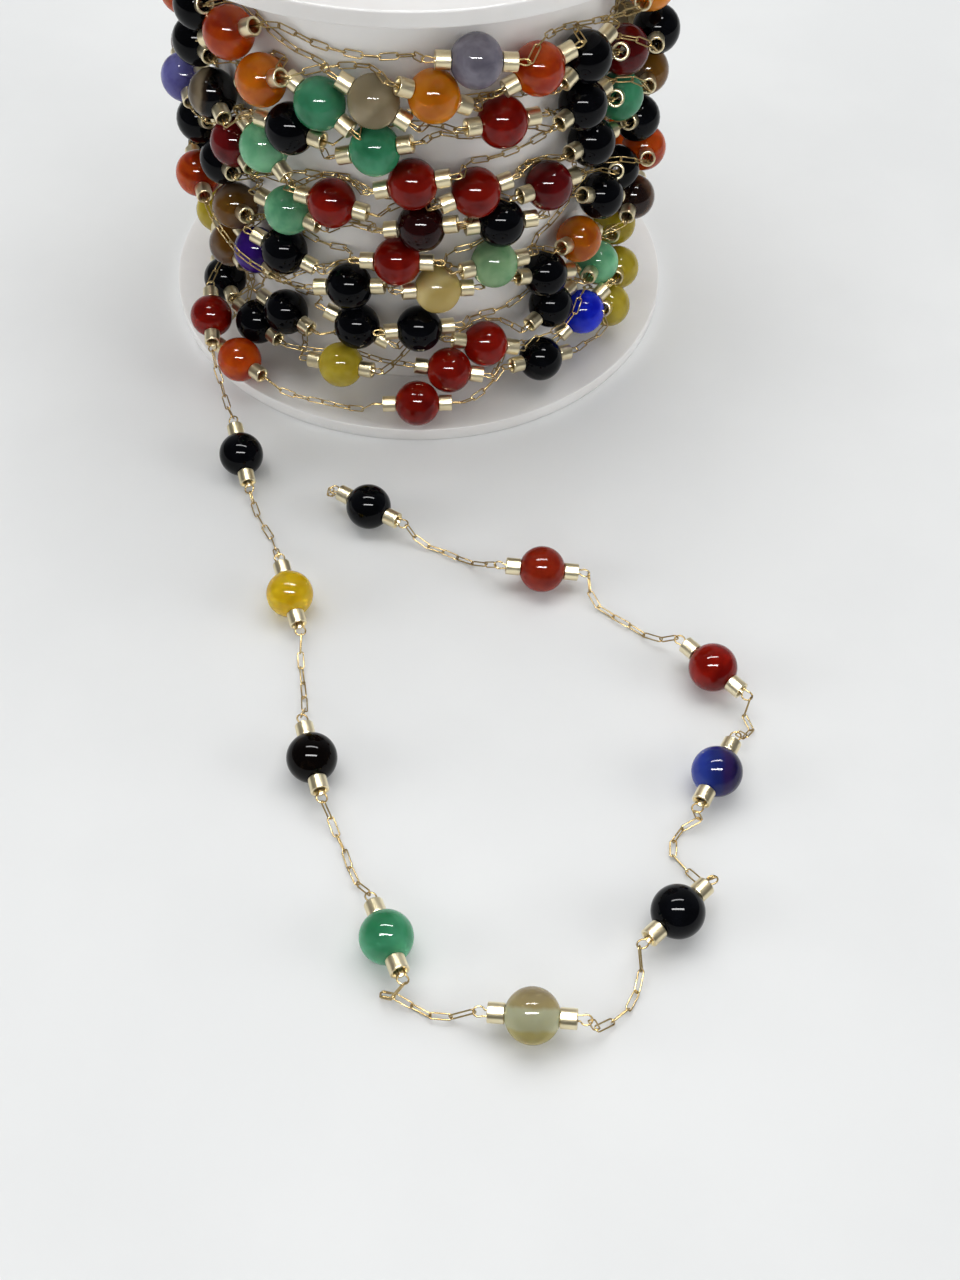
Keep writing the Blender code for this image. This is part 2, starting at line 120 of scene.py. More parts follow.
# Where the links of each loose chain meet, in millimetres from the spool's axis, with their height
LOOSE_LINKS = [
    [(-27.6, -29.6, 5.6), (-26.7, -31.8, 4.7), (-26.0, -34.0, 4.2), (-25.2, -36.2, 4.0)],
    [(-20.3, -50.9, 0.6), (-19.5, -52.9, 0.4), (-18.4, -54.9, 0.5), (-17.2, -56.8, 0.4), (-16.4, -58.9, 0.5),
     (-15.8, -60.9, 1.6)],
    [(-11.4, -75.9, 0.8), (-11.1, -78.0, 0.5), (-10.7, -80.2, 0.4), (-10.3, -82.4, 0.5), (-10.0, -84.6, 0.9)],
    [(-5.6, -99.4, 1.1), (-4.7, -101.3, 0.5), (-3.7, -103.2, 0.4), (-2.9, -105.3, 0.5), (-1.9, -107.3, 0.5)],
    [(2.9, -120.9, 1.9), (1.6, -120.1, 0.5), (3.0, -120.3, 0.6), (4.9, -121.3, 0.5), (6.9, -122.3, 0.5),
     (9.1, -122.5, 0.7)],
    [(24.4, -123.6, 1.3), (26.2, -122.4, 0.5), (27.9, -121.0, 0.5), (28.9, -119.1, 0.5), (29.4, -117.0, 1.3)],
    [(36.6, -106.4, 1.3), (35.3, -104.6, 0.5), (33.8, -102.7, 0.5), (33.9, -100.9, 0.6), (35.1, -99.2, 0.5),
     (37.0, -98.4, 1.4)],
    [(43.3, -87.0, 1.4), (44.4, -85.4, 0.5), (43.6, -83.6, 0.9)],
    [(34.0, -72.8, 1.4), (32.0, -71.4, 0.5), (30.2, -70.0, 0.5), (28.2, -68.6, 0.5), (26.3, -67.2, 0.6),
     (25.2, -65.2, 1.1)],
    [(11.6, -61.7, 1.9), (9.8, -60.5, 0.7), (7.8, -59.5, 0.5), (5.9, -58.5, 0.5), (3.9, -57.8, 0.6),
     (2.0, -56.7, 1.3)],
]
TRAILING_LINKS = [(-9.9, -49.9, 1.5), (-9.3, -48.3, 0.5)]

# Details finer than the source's
STONE_SIDES = 28
STONE_BANDS = 16
LOOSE_STONE_SIDES = 48
LOOSE_STONE_BANDS = 28
SLEEVE_SIDES = 20
LOOSE_SLEEVE_SIDES = 32
LINK_WIRE = 0.19 * MM
LINK_WIDTH = 0.92 * MM
LINK_PITCH = 2.1 * MM
LINK_CORNER = 0.26 * MM
LINK_SIDES = 6
PIN_WIRE = 0.22 * MM
PIN_APART = 0.44 * MM
WOUND_EYE_WIDTH = 1.0 * MM
SEED = 11
EYE_ROLL_SPREAD = 0.4
SOFT_EDGE = 0.1 * MM
SLEEVE_LIP = 0.05 * MM
SECOND_SLEEVE_SEED = 0.37
EYE_POINTS = 13
EYE_BEYOND_HALF = 1.05
NECK_SHARE = 0.95
NECK_LENGTH = 0.6 * MM
CORNER_STEPS = 4
SPOOL_SIDES = 144
LOWER_FLANGE_EDGE = 0.15 * MM
UPPER_FLANGE_EDGE = 0.3 * MM
CORE_EDGE = 0.1 * MM
FIRST_CHAIN_COMES_FROM = np.array([-3.0, 0.0, 0.0]) * MM
TRAILING_TWIST = 0.3


def spool_axis():
    """The spool's axis in the row's frame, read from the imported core."""
    low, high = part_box("spool_core")
    return np.array([(low.x + high.x) / 2, (low.y + high.y) / 2, 0.0])


AXIS = spool_axis()


def seat_radius():
    return CORE_RADIUS + STONE_GAP + WOUND_STONE_DIAMETER / 2


def lowest_centre():
    return FLANGE_THICKNESS + STONE_GAP + WOUND_STONE_DIAMETER / 2


def around_axis(bearing, radius, height):
    return np.stack([radius * np.sin(bearing), -radius * np.cos(bearing), height], axis=-1)


def chart_strand():
    """Bearing, radius and height of every wound stone, which are hidden, and their kinds."""
    bearings, radii, heights, hidden, kinds = [], [], [], [], []
    draw = np.random.default_rng(SEED)

    def place(bearing, radius, height, is_hidden, kind):
        bearings.append(bearing)
        radii.append(radius)
        heights.append(height)
        hidden.append(is_hidden)
        kinds.append(kind)

    def height_at(share):
        return lowest_centre() + WOUND_HEIGHT * share / 100

    for turn_number, row in enumerate(WOUND_PASSES):
        for kind, bearing, share, lift in row:
            radius = seat_radius() + WOUND_STONE_DIAMETER * lift / 100
            place(bearing + 360 * turn_number, radius, height_at(share), False, kind)
        start, start_share = bearings[-1], row[-1][2]
        if turn_number + 1 < len(WOUND_PASSES):
            _, bearing, end_share, _ = WOUND_PASSES[turn_number + 1][0]
            end = bearing + 360 * (turn_number + 1)
        else:
            end, end_share = LAST_BEARING + 360 * (turn_number + 1), 2
        count = round((end - start) / HIDDEN_STEP) - 1
        for step in range(1, count + 1):
            along = step / (count + 1)
            share = start_share + (end_share - start_share) * along
            kind = HIDDEN_KINDS[draw.integers(len(HIDDEN_KINDS))]
            place(start + (end - start) * along, seat_radius(), height_at(share), True, kind)
    return np.radians(bearings), np.array(radii), np.array(heights), np.array(hidden), kinds


def spread_stones():
    """Stone centres in strand order, as the source spreads them."""
    bearings, radii, heights, hidden, _ = chart_strand()
    clear = WOUND_STONE_DIAMETER + STONE_GAP
    share = np.where(hidden[:, None] == hidden[None, :], 0.5, np.where(hidden[:, None], 1.0, 0.0))
    for _ in range(SPREADING_ROUNDS):
        centres = around_axis(bearings, radii, heights)
        apart = centres[:, None] - centres[None, :]
        distance = np.linalg.norm(apart, axis=2)
        np.fill_diagonal(distance, clear)
        overlap = np.clip(clear - distance, 0.0, None) * share
        push = (apart * (overlap / distance)[:, :, None]).sum(axis=1)
        moved = centres + push * SPREADING_RATE
        radii = np.maximum(np.hypot(moved[:, 0], moved[:, 1]), seat_radius())
        bearings = np.arctan2(moved[:, 0], -moved[:, 1])
        heights = np.clip(moved[:, 2], lowest_centre(), lowest_centre() + WOUND_HEIGHT)
    return around_axis(bearings, radii, heights)


def heading(bearing, tilt):
    bearing, tilt = math.radians(bearing), math.radians(tilt)
    return np.array([math.cos(tilt) * math.sin(bearing), -math.cos(tilt) * math.cos(bearing), math.sin(tilt)])


def loose_centres():
    seat = seat_radius() * heading(LEAVING_BEARING, 0.0)
    centres = []
    for number, (_, x, y, _, _) in enumerate(LOOSE_STONES):
        height = FIRST_STONE_HEIGHT if number == 0 else STONE_DIAMETER / 2
        centres.append(seat + np.array([x * MM, y * MM, height]))
    return np.array(centres)


def sleeve_offset(diameter):
    """Distance from a stone's centre to a sleeve's: the sleeve sits over the top of the ball."""
    return diameter / 2 - SLEEVE_OVERLAP + SLEEVE_LENGTH / 2


def eye_offset(diameter):
    return diameter / 2 + FIT + SLEEVE_LENGTH + EYE_BEYOND_SLEEVE


def joint_offset(diameter):
    """Distance from a stone's centre to where the first link hooks into the eye."""
    return eye_offset(diameter) + EYE_DIAMETER / 2 - PIN_WIRE


def unit(vectors):
    return vectors / np.linalg.norm(vectors, axis=-1, keepdims=True)


def radial(points):
    flat = points * np.array([1.0, 1.0, 0.0])
    return unit(flat)


# How the strand lies on the core

STATION_SAMPLES = [(3.6 * MM, 1.25 * MM), (4.5 * MM, 1.25 * MM), (5.8 * MM, 0.8 * MM)]
SLEEVE_SAMPLES = (3.6 * MM, 4.5 * MM)
AIM_ROUNDS = 120
AIM_TURN = 0.35
AIM_OUTWARD = 0.16
AIM_UPWARD = 0.45
CHAIN_ROUNDS = 300
PAIRS_AGAIN_AFTER = 50
CHAIN_LIFT = 0.42 * MM
CHAIN_APART = 0.62 * MM
CHAIN_PULL = 0.03 * MM
CHAIN_SINK = 0.9
CHAIN_SLACK = 1.01
MEASURING_STEPS = 12
JOINT_PUSH = 0.6
MIDDLE_PUSH = 0.5
NEIGHBOUR_PUSH = 0.3
TIGHT_SHARE = 0.95
SHORTEST_SPAN = 0.85
SPAN_PASSES = 4
SPAN_STEP = 1.4
SAG = 0.006 * MM
TIGHT_BEYOND_SEAT = 0.6 * MM
SLACK_BEYOND_SEAT = 1.6 * MM
NEAR = 9.0 * MM
TINY = 1e-6


def near_pairs(points, others, reach):
    """Index pairs of the points and others that lie within a reach of each other."""
    apart = np.linalg.norm(points[:, None] - others[None, :], axis=2)
    return np.nonzero(apart < reach)


def pushed_apart(points, others, clear, pairs):
    """The sum of the pushes on each point that keep it clear of the others."""
    here, there = pairs
    apart = points[here] - others[there]
    distance = np.maximum(np.linalg.norm(apart, axis=1), TINY)
    push = apart * (np.clip(clear - distance, 0.0, None) / distance)[:, None]
    total = np.zeros_like(points)
    np.add.at(total, here, push)
    return total


def aim_stations(centres, before, after):
    """Unit directions of the bores: along the strand, turned where sleeves would run into a stone."""
    ahead = np.vstack([centres[1:], after])
    behind = np.vstack([before, centres[:-1]])
    outward = radial(centres)
    along = ahead - behind
    along -= (along * outward).sum(axis=1, keepdims=True) * outward
    aim = unit(along)
    count = len(centres)
    ends = [(sign, offset, radius) for sign in (-1, 1) for offset, radius in STATION_SAMPLES]
    owner = np.tile(np.arange(count), len(ends))
    thick = np.repeat([radius for _, _, radius in ends], count)
    lever = np.repeat([sign / offset for sign, offset, _ in ends], count)

    def samples():
        return np.vstack([centres + aim * (sign * offset) for sign, offset, _ in ends])

    stone_pairs = near_pairs(samples(), centres, NEAR)
    own = owner[stone_pairs[0]] != stone_pairs[1]
    stone_pairs = (stone_pairs[0][own], stone_pairs[1][own])
    sample_pairs = near_pairs(samples(), samples(), NEAR)
    own = owner[sample_pairs[0]] != owner[sample_pairs[1]]
    sample_pairs = (sample_pairs[0][own], sample_pairs[1][own])
    stone_clear = WOUND_STONE_DIAMETER / 2 + thick[stone_pairs[0]]
    sample_clear = thick[sample_pairs[0]] + thick[sample_pairs[1]]
    for _ in range(AIM_ROUNDS):
        point = samples()
        push = pushed_apart(point, centres, stone_clear, stone_pairs)
        push += pushed_apart(point, point, sample_clear, sample_pairs) * 0.5
        depth = CORE_RADIUS + thick - np.hypot(point[:, 0], point[:, 1])
        push += radial(point) * np.clip(depth, 0.0, None)[:, None]
        low = FLANGE_THICKNESS + thick - point[:, 2]
        push[:, 2] += np.clip(low, 0.0, None)
        turning = np.zeros_like(aim)
        np.add.at(turning, owner, push * lever[:, None])
        aim = unit(aim + turning * AIM_TURN)
        outward_part = (aim * outward).sum(axis=1, keepdims=True)
        aim += (np.clip(outward_part, -AIM_OUTWARD, AIM_OUTWARD) - outward_part) * outward
        aim[:, 2] = np.clip(aim[:, 2], -AIM_UPWARD, AIM_UPWARD)
        aim = unit(aim)
    return aim


def chain_start(start, end):
    """First guess of where a chain's links meet: the shortest way round the core."""
    bearings = [math.atan2(place[0], -place[1]) for place in (start, end)]
    sweep = (bearings[1] - bearings[0] + math.pi) % (2 * math.pi) - math.pi
    reach = [math.hypot(place[0], place[1]) for place in (start, end)]

    def route(count):
        share = np.linspace(0.0, 1.0, count + 1)
        bearing = bearings[0] + sweep * share
        sinking = abs(sweep) * CORE_RADIUS * CHAIN_SINK
        radius = np.maximum(reach[0] - sinking * share, reach[1] - sinking * (1.0 - share))
        radius = np.maximum(radius, CORE_RADIUS + CHAIN_LIFT)
        if min(reach) > seat_radius() + SLACK_BEYOND_SEAT:
            chord = start + (end - start) * share[:, None]
            radius = np.maximum(radius, np.hypot(chord[:, 0], chord[:, 1]))
        points = around_axis(bearing, radius, start[2] + (end[2] - start[2]) * share)
        points[0], points[-1] = start, end
        return points

    length = np.linalg.norm(np.diff(route(MEASURING_STEPS), axis=0), axis=1).sum()
    return route(max(4, math.ceil(length * CHAIN_SLACK / LINK_PITCH)))


def settle_chains(chains, blocks, block_radii):
    """Let all wound chains lie: no link longer than its pitch, and none inside anything else."""
    points = np.vstack(chains)
    lengths = [len(chain) for chain in chains]
    first = np.cumsum([0] + lengths)
    held = np.zeros(len(points), dtype=bool)
    held[first[:-1]] = held[first[1:] - 1] = True
    chain_of = np.repeat(np.arange(len(chains)), lengths)
    a = np.flatnonzero(chain_of[:-1] == chain_of[1:])
    b = a + 1
    home = points.copy()
    tight = (np.hypot(home[:, 0], home[:, 1]) < seat_radius() + TIGHT_BEYOND_SEAT)[:, None]
    weight = np.zeros(len(points))
    np.add.at(weight, a, 1.0)
    np.add.at(weight, b, 1.0)
    weight = np.maximum(weight, 1.0)[:, None]
    lowest = CORE_RADIUS + CHAIN_LIFT

    def kept_out(samples, is_tight, pairs):
        """How far each sample must move out of the blocks, the core and the flange."""
        clear = block_radii[pairs[1]] + CHAIN_LIFT
        push = pushed_apart(samples, blocks, clear, pairs)
        outward = radial(samples)
        lifting = np.clip((push * outward).sum(axis=1, keepdims=True), 0.0, None) * is_tight
        push -= lifting * TIGHT_SHARE * outward
        depth = lowest - np.hypot(samples[:, 0], samples[:, 1])
        push += outward * np.clip(depth, 0.0, None)[:, None]
        push[:, 2] += np.clip(FLANGE_THICKNESS + CHAIN_LIFT - samples[:, 2], 0.0, None)
        return push

    for turn_number in range(CHAIN_ROUNDS):
        if turn_number % PAIRS_AGAIN_AFTER == 0:
            middle = (points[a] + points[b]) / 2
            block_pairs = near_pairs(points, blocks, NEAR)
            middle_pairs = near_pairs(middle, blocks, NEAR)
            chain_pairs = near_pairs(points, points, NEAR / 2)
            apart = chain_of[chain_pairs[0]] != chain_of[chain_pairs[1]]
            chain_pairs = (chain_pairs[0][apart], chain_pairs[1][apart])
        points[:, 2] -= SAG
        points -= radial(points) * CHAIN_PULL * tight
        points += kept_out(points, tight, block_pairs) * JOINT_PUSH
        middle = kept_out((points[a] + points[b]) / 2, tight[a], middle_pairs) * MIDDLE_PUSH
        np.add.at(points, a, middle)
        np.add.at(points, b, middle)
        points += pushed_apart(points, points, CHAIN_APART, chain_pairs) * NEIGHBOUR_PUSH
        for _ in range(SPAN_PASSES):
            points[held] = home[held]
            span = points[b] - points[a]
            length = np.linalg.norm(span, axis=1)
            change = np.clip(length - LINK_PITCH, 0.0, None)
            change -= np.clip(LINK_PITCH * SHORTEST_SPAN - length, 0.0, None)
            step = span * (change / np.maximum(length, TINY))[:, None] * 0.5
            move = np.zeros_like(points)
            np.add.at(move, a, step)
            np.add.at(move, b, -step)
            points += move / weight * SPAN_STEP
        points[held] = home[held]
    return [points[low:high] for low, high in zip(first[:-1], first[1:])]


# Meshes from arrays

def build_mesh(name, vertices, faces, attributes=None, smooth=True):
    """A mesh object from an array of points and one of quads, with named point attributes."""
    mesh = bpy.data.meshes.new(name)
    mesh.vertices.add(len(vertices))
    mesh.vertices.foreach_set("co", np.asarray(vertices, np.float32).ravel())
    mesh.loops.add(faces.size)
    mesh.loops.foreach_set("vertex_index", faces.astype(np.int32).ravel())
    mesh.polygons.add(len(faces))
    mesh.polygons.foreach_set("loop_start", np.arange(0, faces.size, faces.shape[1], dtype=np.int32))
    for key, values in (attributes or {}).items():
        values = np.asarray(values, np.float32)
        kind = "FLOAT_VECTOR" if values.ndim == 2 else "FLOAT"
        attribute = mesh.attributes.new(key, kind, "POINT")
        attribute.data.foreach_set("vector" if values.ndim == 2 else "value", values.ravel())
    mesh.update(calc_edges=True)
    mesh.validate()
    mesh.polygons.foreach_set("use_smooth", np.full(len(mesh.polygons), smooth))
    obj = bpy.data.objects.new(name, mesh)
    bpy.context.scene.collection.objects.link(obj)
    return obj


def turned(outline, sides):
    """Points and quads of a closed outline of (radius, height) turned round Z."""
    angles = np.linspace(0.0, 2 * math.pi, sides, endpoint=False)
    outline = np.asarray(outline)
    points = np.stack([outline[None, :, 0] * np.cos(angles)[:, None],
                       outline[None, :, 0] * np.sin(angles)[:, None],
                       np.broadcast_to(outline[None, :, 1], (sides, len(outline)))], axis=-1)
    count = len(outline)
    ring, place = np.meshgrid(np.arange(sides), np.arange(count), indexing="ij")
    after, beyond = (ring + 1) % sides, (place + 1) % count
    faces = np.stack([ring * count + place, ring * count + beyond, after * count + beyond,
                      after * count + place], axis=-1)
    return points.reshape(-1, 3), faces.reshape(-1, 4)


def looped_tube(path, radius, sides):
    """Points and quads of a round wire along a closed path that lies in the XZ plane."""
    path = np.asarray(path)
    along = unit(np.roll(path, -1, axis=0) - np.roll(path, 1, axis=0))
    across = np.array([0.0, 1.0, 0.0])
    out = np.cross(across, along)
    angles = np.linspace(0.0, 2 * math.pi, sides, endpoint=False)
    points = (path[:, None] + radius * (np.cos(angles)[None, :, None] * out[:, None]
                                        + np.sin(angles)[None, :, None] * across))
    ring, place = np.meshgrid(np.arange(len(path)), np.arange(sides), indexing="ij")
    after, beyond = (ring + 1) % len(path), (place + 1) % sides
    faces = np.stack([ring * sides + place, ring * sides + beyond, after * sides + beyond,
                      after * sides + place], axis=-1)
    return points.reshape(-1, 3), faces.reshape(-1, 4)


def copies(template, faces, frames, places):
    """One array of the template's points at every frame (columns X, Y, Z) and place, with the quads."""
    points = np.einsum("vj,nij->nvi", template, frames) + places[:, None]
    steps = np.arange(len(places))[:, None, None] * len(template)
    return points.reshape(-1, 3), (faces[None] + steps).reshape(-1, 4)


def frames_along(along, upward, roll):
    """Frames with Z along a direction and X turned by roll from the upward direction."""
    side = unit(np.cross(along, upward))
    level = np.cross(side, along)
    x = level * np.cos(roll)[:, None] + side * np.sin(roll)[:, None]
    y = np.cross(along, x)
    return np.stack([x, y, along], axis=-1)


def stone_outline(diameter, bore, bands):
    """Outline of a bored ball whose hole has a soft edge, from the top down and back up the bore."""
    radius, hole = diameter / 2, bore / 2
    rim = math.asin((hole + SOFT_EDGE) / radius)
    outline = []
    for band in range(bands + 1):
        angle = rim + (math.pi - 2 * rim) * band / bands
        outline.append((radius * math.sin(angle), radius * math.cos(angle)))
    mouth = radius * math.cos(rim) - SOFT_EDGE * 0.7
    outline += [(hole, -mouth), (hole, mouth)]
    return outline[::-1]


def sleeve_outline():
    """The wall of a short tube. Two rings inside its lips keep the shading of the wall straight."""
    outer, half, lip = SLEEVE_DIAMETER / 2, SLEEVE_LENGTH / 2, SLEEVE_LIP
    inner, level = outer - SLEEVE_WALL, half - 2 * lip
    return [(inner + lip, half), (inner, half - lip), (inner, -half + lip), (inner + lip, -half),
            (outer - lip, -half), (outer, -half + lip), (outer, -level), (outer, level),
            (outer, half - lip), (outer - lip, half)]


def pin_path(diameter, eye_width):
    """A wire laid double through the stone, opened to an eye at each end."""
    eye, ring = eye_offset(diameter), (EYE_DIAMETER - PIN_WIRE) / 2
    narrow, half_width = PIN_APART / 2, (eye_width - PIN_WIRE) / 2
    half = []
    reach = 0.5 * math.pi + EYE_BEYOND_HALF
    for angle in np.linspace(-reach, reach, EYE_POINTS)[1:-1]:
        half.append((half_width * math.sin(angle), eye + ring * math.cos(angle)))
    neck = eye - ring * NECK_SHARE
    side = [(narrow, neck), (narrow, neck - NECK_LENGTH), (narrow, diameter * 0.25), (narrow, 0.0)]
    right = half + side
    left = [(-x, -z) for x, z in right]
    path = [(x, 0.0, z) for x, z in right + left]
    return np.array(path)


def link_path(length):
    """A long link with straight sides and tightly rounded ends, its wire's middle line."""
    half_width, corner = (LINK_WIDTH - LINK_WIRE) / 2, LINK_CORNER
    half_length = length / 2
    path = []
    for angle in np.linspace(0.0, math.pi / 2, CORNER_STEPS):
        across = half_width - corner + corner * math.cos(angle)
        path.append((across, half_length - corner + corner * math.sin(angle)))
    path += [(-x, z) for x, z in path[::-1]]
    path += [(x, -z) for x, z in path[::-1]]
    path = path[::-1]
    return np.array([(x, 0.0, z) for x, z in path])


def link_field(name, chains, rolls):
    """All links of some chains in one mesh, every second one turned by a quarter."""
    nominal = LINK_PITCH + LINK_WIRE
    template, faces = looped_tube(link_path(nominal), LINK_WIRE / 2, LINK_SIDES)
    faces = outward(template, faces)
    centres, along, roll, stretch, upward = [], [], [], [], []
    for joints, (first_roll, twist) in zip(chains, rolls):
        span = np.diff(joints, axis=0)
        count = len(span)
        middle = (joints[1:] + joints[:-1]) / 2
        centres.append(middle)
        along.append(unit(span))
        stretch.append(np.linalg.norm(span, axis=1) + LINK_WIRE - nominal)
        number = np.arange(count)
        roll.append(first_roll + math.pi / 2 * number + twist * number / max(count - 1, 1))
        is_wound = np.hypot(middle[:, 0], middle[:, 1]) < FLANGE_RADIUS
        upward.append(np.where(is_wound[:, None], radial(middle), np.array([0.0, 0.0, 1.0])))
    centres, along, roll = np.vstack(centres), np.vstack(along), np.concatenate(roll)
    stretch, upward = np.concatenate(stretch), np.vstack(upward)
    frames = frames_along(along, upward, roll)
    ends = np.sign(template[:, 2])
    local = np.repeat(template[None], len(centres), axis=0)
    local[:, :, 2] += ends[None] * stretch[:, None] / 2
    points = np.einsum("nvj,nij->nvi", local, frames) + centres[:, None]
    steps = np.arange(len(centres))[:, None, None] * len(template)
    return build_mesh(name, points.reshape(-1, 3) + AXIS, (faces[None] + steps).reshape(-1, 4))


def outward(points, faces):
    """The quads turned so that their normals point out of the closed surface."""
    a, b, c, d = (points[faces[:, i]] for i in range(4))
    volume = (a * (np.cross(b, c) + np.cross(c, d))).sum()
    return faces if volume > 0 else faces[:, ::-1]


def field_of(name, template, faces, frames, places, attributes=None):
    """Copies of a template as one piece in the row's frame, each with its local points and a seed."""
    faces = outward(template, faces)
    points, quads = copies(template, faces, frames, places)
    return build_mesh(name, points + AXIS, quads, attributes)


def stones(name, centres, aims, diameter, sides, bands, seeds):
    template, faces = turned(stone_outline(diameter, STONE_BORE, bands), sides)
    centres, aims = np.atleast_2d(centres), np.atleast_2d(aims)
    frames = frames_along(aims, np.tile([0.0, 0.0, 1.0], (len(aims), 1)), np.zeros(len(aims)))
    attributes = {"place": np.tile(template / (diameter / 2), (len(centres), 1)),
                  "seed": np.repeat(np.atleast_1d(seeds), len(template))}
    return field_of(name, template, faces, frames, centres, attributes)


def sleeves(name, centres, aims, diameter, sides, seeds):
    template, faces = turned(sleeve_outline(), sides)
    both = np.vstack([centres + aims * (sign * sleeve_offset(diameter)) for sign in (-1, 1)])
    along = np.vstack([aims, aims])
    frames = frames_along(along, np.tile([0.0, 0.0, 1.0], (len(along), 1)), np.zeros(len(along)))
    attributes = {"place": np.tile(template / MM, (len(both), 1)),
                  "seed": np.repeat(np.concatenate([seeds, seeds + SECOND_SLEEVE_SEED]), len(template))}
    return field_of(name, template, faces, frames, both, attributes)


def pins(name, centres, aims, diameter, eye_width, rolls):
    template, faces = looped_tube(pin_path(diameter, eye_width), PIN_WIRE / 2, LINK_SIDES)
    frames = frames_along(aims, np.tile([0.0, 0.0, 1.0], (len(aims), 1)), rolls)
    return field_of(name, template, faces, frames, centres)


def rounded_ring(name, inner, outer, bottom, top, edge, sides):
    """A turned ring with softened edges."""
    arc = np.linspace(0.0, math.pi / 2, CORNER_STEPS)
    outline = []
    corners = [(outer, top), (inner, top), (inner, bottom), (outer, bottom)]
    for quarter, (radius, height) in enumerate(corners):
        start = quarter * math.pi / 2
        centre_r = radius - edge * (1 if radius == outer else -1)
        centre_z = height - edge * (1 if height == top else -1)
        for step in arc:
            angle = start + step
            outline.append((centre_r + edge * math.cos(angle), centre_z + edge * math.sin(angle)))
    points, faces = turned(outline, sides)
    return build_mesh(name, points + AXIS, outward(points, faces))


# Materials

